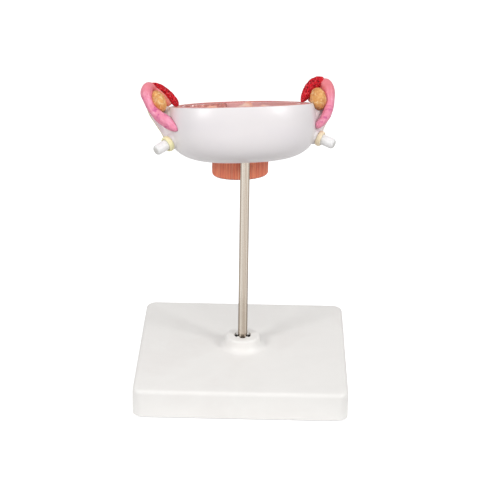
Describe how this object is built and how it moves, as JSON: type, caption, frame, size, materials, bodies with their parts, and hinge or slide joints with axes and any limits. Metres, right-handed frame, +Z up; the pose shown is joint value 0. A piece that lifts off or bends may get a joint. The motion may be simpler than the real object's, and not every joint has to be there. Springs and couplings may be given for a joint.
{
  "type": "fetus demonstration model",
  "caption": "Classroom model of a womb cut open, with a fetus lying across inside, tubes and ovaries at its sides, on a steel rod and a square base.",
  "frame": {"origin": "on the table, under the middle of the square base, where the rod stands", "axes": "+Z up along the rod; +X to the right and +Y away, seen from the closed back of the bowl"},
  "size_m": [0.18, 0.18, 0.2575],
  "materials": {
    "base_white": "warm white moulding, satin",
    "foot_rubber": "matte black",
    "rod_steel": "drawn stainless rod",
    "fastener_steel": "zinc plated",
    "bush_nylon": "dark grey",
    "socket_brass": "turned",
    "womb_white": "white, soft gloss",
    "muscle": "hand-painted salmon, fine fibres",
    "placenta": "dark red, lobed",
    "lining": "pale mauve, wet gloss",
    "stump": "salmon with fine upright fibres",
    "neck": "pale pink",
    "tube": "pink, satin",
    "fimbriae": "deep red, dabbed by hand",
    "ovary": "ochre, dabbed by hand",
    "ligament": "pale yellow to beige",
    "strand_white": "white, satin",
    "skin": "warm skin tone, satin",
    "cord": "pale, with blue and red vessels"
  },
  "bodies": {
    "stand": {"base_shell": "base_white", "foot_near_left": "foot_rubber", "foot_near_right": "foot_rubber", "foot_far_left": "foot_rubber", "foot_far_right": "foot_rubber", "support_rod": "rod_steel", "rod_washer": "fastener_steel", "rod_screw": "fastener_steel"},
    "bush": {"swivel_bush": "bush_nylon"},
    "uterus": {"rod_socket": "socket_brass", "uterus_shell": "womb_white", "uterus_muscle": "muscle", "placenta": "placenta", "amnion_lining": "lining", "vaginal_stump": "stump", "cervix_neck": "neck", "left_uterine_tube": "tube", "right_uterine_tube": "tube", "left_fimbriae": "fimbriae", "right_fimbriae": "fimbriae", "left_ovary": "ovary", "right_ovary": "ovary", "left_broad_ligament": "ligament", "right_broad_ligament": "ligament", "left_round_ligament": "strand_white", "right_round_ligament": "strand_white"},
    "fetus": {"fetus": "skin", "umbilical_cord": "cord"}
  },
  "joints": [
    {"name": "uterus_turn", "type": "hinge", "parent": "stand", "child": "bush", "pos_m": [0, 0, 0.2], "axis": [0, 0, 1], "continuous": true},
    {"name": "uterus_lift_off", "type": "slide", "parent": "bush", "child": "uterus", "axis": [0, 0, 1], "range_m": [0, 0.04]},
    {"name": "fetus_lift_out", "type": "slide", "parent": "uterus", "child": "fetus", "axis": [-0.0441, 0.2636, 0.9636], "range_m": [0, 0.045]}
  ]
}
